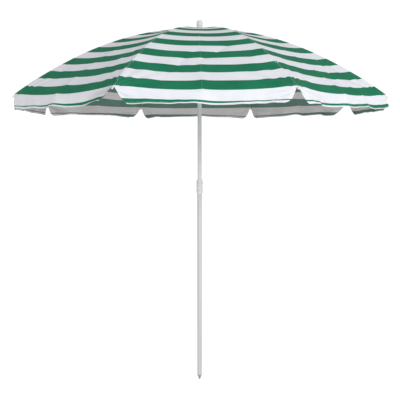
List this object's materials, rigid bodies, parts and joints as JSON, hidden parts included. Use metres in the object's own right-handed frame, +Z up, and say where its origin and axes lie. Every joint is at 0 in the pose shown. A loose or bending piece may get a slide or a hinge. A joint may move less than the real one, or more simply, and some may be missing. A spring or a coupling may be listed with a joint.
{
  "type": "beach umbrella",
  "caption": "Folding beach umbrella with a striped, flapped canopy on ribs and stretchers, a sliding runner, and a two-part pointed pole joined by a twist-lock collar.",
  "frame": {"origin": "the pointed foot of the pole, on the pole's axis", "axes": "+Z up the pole to the finial; one canopy panel faces -Y; +X is to the right of a viewer who looks along +Y"},
  "size_m": [1.5456, 1.5456, 1.66],
  "materials": {
    "pole_enamel": "satin",
    "collar_plastic": "satin",
    "white_plastic": "satin",
    "spike_plastic": "matte",
    "zinc_steel": "satin",
    "spring_steel": "satin",
    "canopy_cloth": "matte"
  },
  "bodies": {
    "lower_mast": {"lower_pole": "pole_enamel", "ground_spike": "spike_plastic", "collet": "white_plastic"},
    "lock_collar": {"lock_collar": "collar_plastic"},
    "upper_mast": {"upper_pole": "pole_enamel", "pole_end_plug": "white_plastic", "top_hub": "white_plastic", "hub_pins": "zinc_steel", "crown_disc": "canopy_cloth", "finial_base": "white_plastic", "finial_cap": "white_plastic"},
    "catch": {"runner_catch": "spring_steel"},
    "runner": {"runner": "white_plastic"},
    "rib_1": {"rib_1": "zinc_steel", "rib_clip_1": "zinc_steel", "rib_tip_1": "white_plastic", "canopy_panel_1": "canopy_cloth"},
    "stretcher_1": {"stretcher_1": "zinc_steel"},
    "rib_2": {"rib_2": "zinc_steel", "rib_clip_2": "zinc_steel", "rib_tip_2": "white_plastic", "canopy_panel_2": "canopy_cloth"},
    "stretcher_2": {"stretcher_2": "zinc_steel"},
    "rib_3": {"rib_3": "zinc_steel", "rib_clip_3": "zinc_steel", "rib_tip_3": "white_plastic", "canopy_panel_3": "canopy_cloth"},
    "stretcher_3": {"stretcher_3": "zinc_steel"},
    "rib_4": {"rib_4": "zinc_steel", "rib_clip_4": "zinc_steel", "rib_tip_4": "white_plastic", "canopy_panel_4": "canopy_cloth"},
    "stretcher_4": {"stretcher_4": "zinc_steel"},
    "rib_5": {"rib_5": "zinc_steel", "rib_clip_5": "zinc_steel", "rib_tip_5": "white_plastic", "canopy_panel_5": "canopy_cloth"},
    "stretcher_5": {"stretcher_5": "zinc_steel"},
    "rib_6": {"rib_6": "zinc_steel", "rib_clip_6": "zinc_steel", "rib_tip_6": "white_plastic", "canopy_panel_6": "canopy_cloth"},
    "stretcher_6": {"stretcher_6": "zinc_steel"},
    "rib_7": {"rib_7": "zinc_steel", "rib_clip_7": "zinc_steel", "rib_tip_7": "white_plastic", "canopy_panel_7": "canopy_cloth"},
    "stretcher_7": {"stretcher_7": "zinc_steel"},
    "rib_8": {"rib_8": "zinc_steel", "rib_clip_8": "zinc_steel", "rib_tip_8": "white_plastic", "canopy_panel_8": "canopy_cloth"},
    "stretcher_8": {"stretcher_8": "zinc_steel"}
  },
  "joints": [
    {"name": "collar_twist", "type": "hinge", "parent": "lower_mast", "child": "lock_collar", "pos_m": [0, 0, 0.906], "axis": [0, 0, 1], "range_deg": [-120, 0]},
    {"name": "height_slide", "type": "slide", "parent": "lower_mast", "child": "upper_mast", "axis": [0, 0, 1], "range_m": [0, 0.1]},
    {"name": "catch_press", "type": "slide", "parent": "upper_mast", "child": "catch", "axis": [-1, 0, 0], "range_m": [0, 0.0036], "stiffness_N_per_m": 1500, "springref_m": -0.002},
    {"name": "runner_slide", "type": "slide", "parent": "upper_mast", "child": "runner", "axis": [0, 0, 1], "range_m": [-0.33751, 0], "deforming": ["runner_catch", "canopy_panel_1", "canopy_panel_2", "canopy_panel_3", "canopy_panel_4", "canopy_panel_5", "canopy_panel_6", "canopy_panel_7", "canopy_panel_8"]},
    {"name": "rib_fold_1", "type": "hinge", "parent": "upper_mast", "child": "rib_1", "pos_m": [-0.0099, -0.0239, 1.61338], "axis": [-0.9239, 0.3827, 0], "range_deg": [-66.01, 0]},
    {"name": "stretcher_fold_1", "type": "hinge", "parent": "rib_1", "child": "stretcher_1", "pos_m": [-0.11048, -0.26672, 1.56596], "axis": [-0.9239, 0.3827, 0], "range_deg": [0, 106.74]},
    {"name": "rib_fold_2", "type": "hinge", "parent": "upper_mast", "child": "rib_2", "pos_m": [0.0099, -0.0239, 1.61338], "axis": [-0.9239, -0.3827, 0], "range_deg": [-66.01, 0]},
    {"name": "stretcher_fold_2", "type": "hinge", "parent": "rib_2", "child": "stretcher_2", "pos_m": [0.11048, -0.26672, 1.56596], "axis": [-0.9239, -0.3827, 0], "range_deg": [0, 106.74]},
    {"name": "rib_fold_3", "type": "hinge", "parent": "upper_mast", "child": "rib_3", "pos_m": [0.0239, -0.0099, 1.61338], "axis": [-0.3827, -0.9239, 0], "range_deg": [-66.01, 0]},
    {"name": "stretcher_fold_3", "type": "hinge", "parent": "rib_3", "child": "stretcher_3", "pos_m": [0.26672, -0.11048, 1.56596], "axis": [-0.3827, -0.9239, 0], "range_deg": [0, 106.74]},
    {"name": "rib_fold_4", "type": "hinge", "parent": "upper_mast", "child": "rib_4", "pos_m": [0.0239, 0.0099, 1.61338], "axis": [0.3827, -0.9239, 0], "range_deg": [-66.01, 0]},
    {"name": "stretcher_fold_4", "type": "hinge", "parent": "rib_4", "child": "stretcher_4", "pos_m": [0.26672, 0.11048, 1.56596], "axis": [0.3827, -0.9239, 0], "range_deg": [0, 106.74]},
    {"name": "rib_fold_5", "type": "hinge", "parent": "upper_mast", "child": "rib_5", "pos_m": [0.0099, 0.0239, 1.61338], "axis": [0.9239, -0.3827, 0], "range_deg": [-66.01, 0]},
    {"name": "stretcher_fold_5", "type": "hinge", "parent": "rib_5", "child": "stretcher_5", "pos_m": [0.11048, 0.26672, 1.56596], "axis": [0.9239, -0.3827, 0], "range_deg": [0, 106.74]},
    {"name": "rib_fold_6", "type": "hinge", "parent": "upper_mast", "child": "rib_6", "pos_m": [-0.0099, 0.0239, 1.61338], "axis": [0.9239, 0.3827, 0], "range_deg": [-66.01, 0]},
    {"name": "stretcher_fold_6", "type": "hinge", "parent": "rib_6", "child": "stretcher_6", "pos_m": [-0.11048, 0.26672, 1.56596], "axis": [0.9239, 0.3827, 0], "range_deg": [0, 106.74]},
    {"name": "rib_fold_7", "type": "hinge", "parent": "upper_mast", "child": "rib_7", "pos_m": [-0.0239, 0.0099, 1.61338], "axis": [0.3827, 0.9239, 0], "range_deg": [-66.01, 0]},
    {"name": "stretcher_fold_7", "type": "hinge", "parent": "rib_7", "child": "stretcher_7", "pos_m": [-0.26672, 0.11048, 1.56596], "axis": [0.3827, 0.9239, 0], "range_deg": [0, 106.74]},
    {"name": "rib_fold_8", "type": "hinge", "parent": "upper_mast", "child": "rib_8", "pos_m": [-0.0239, -0.0099, 1.61338], "axis": [-0.3827, 0.9239, 0], "range_deg": [-66.01, 0]},
    {"name": "stretcher_fold_8", "type": "hinge", "parent": "rib_8", "child": "stretcher_8", "pos_m": [-0.26672, -0.11048, 1.56596], "axis": [-0.3827, 0.9239, 0], "range_deg": [0, 106.74]}
  ],
  "couplings": [
    {"joint": "rib_fold_1", "follows": "runner_slide", "rad_per_m": 3.413},
    {"joint": "stretcher_fold_1", "follows": "runner_slide", "rad_per_m": -5.5195},
    {"joint": "rib_fold_2", "follows": "runner_slide", "rad_per_m": 3.413},
    {"joint": "stretcher_fold_2", "follows": "runner_slide", "rad_per_m": -5.5195},
    {"joint": "rib_fold_3", "follows": "runner_slide", "rad_per_m": 3.413},
    {"joint": "stretcher_fold_3", "follows": "runner_slide", "rad_per_m": -5.5195},
    {"joint": "rib_fold_4", "follows": "runner_slide", "rad_per_m": 3.413},
    {"joint": "stretcher_fold_4", "follows": "runner_slide", "rad_per_m": -5.5195},
    {"joint": "rib_fold_5", "follows": "runner_slide", "rad_per_m": 3.413},
    {"joint": "stretcher_fold_5", "follows": "runner_slide", "rad_per_m": -5.5195},
    {"joint": "rib_fold_6", "follows": "runner_slide", "rad_per_m": 3.413},
    {"joint": "stretcher_fold_6", "follows": "runner_slide", "rad_per_m": -5.5195},
    {"joint": "rib_fold_7", "follows": "runner_slide", "rad_per_m": 3.413},
    {"joint": "stretcher_fold_7", "follows": "runner_slide", "rad_per_m": -5.5195},
    {"joint": "rib_fold_8", "follows": "runner_slide", "rad_per_m": 3.413},
    {"joint": "stretcher_fold_8", "follows": "runner_slide", "rad_per_m": -5.5195}
  ]
}
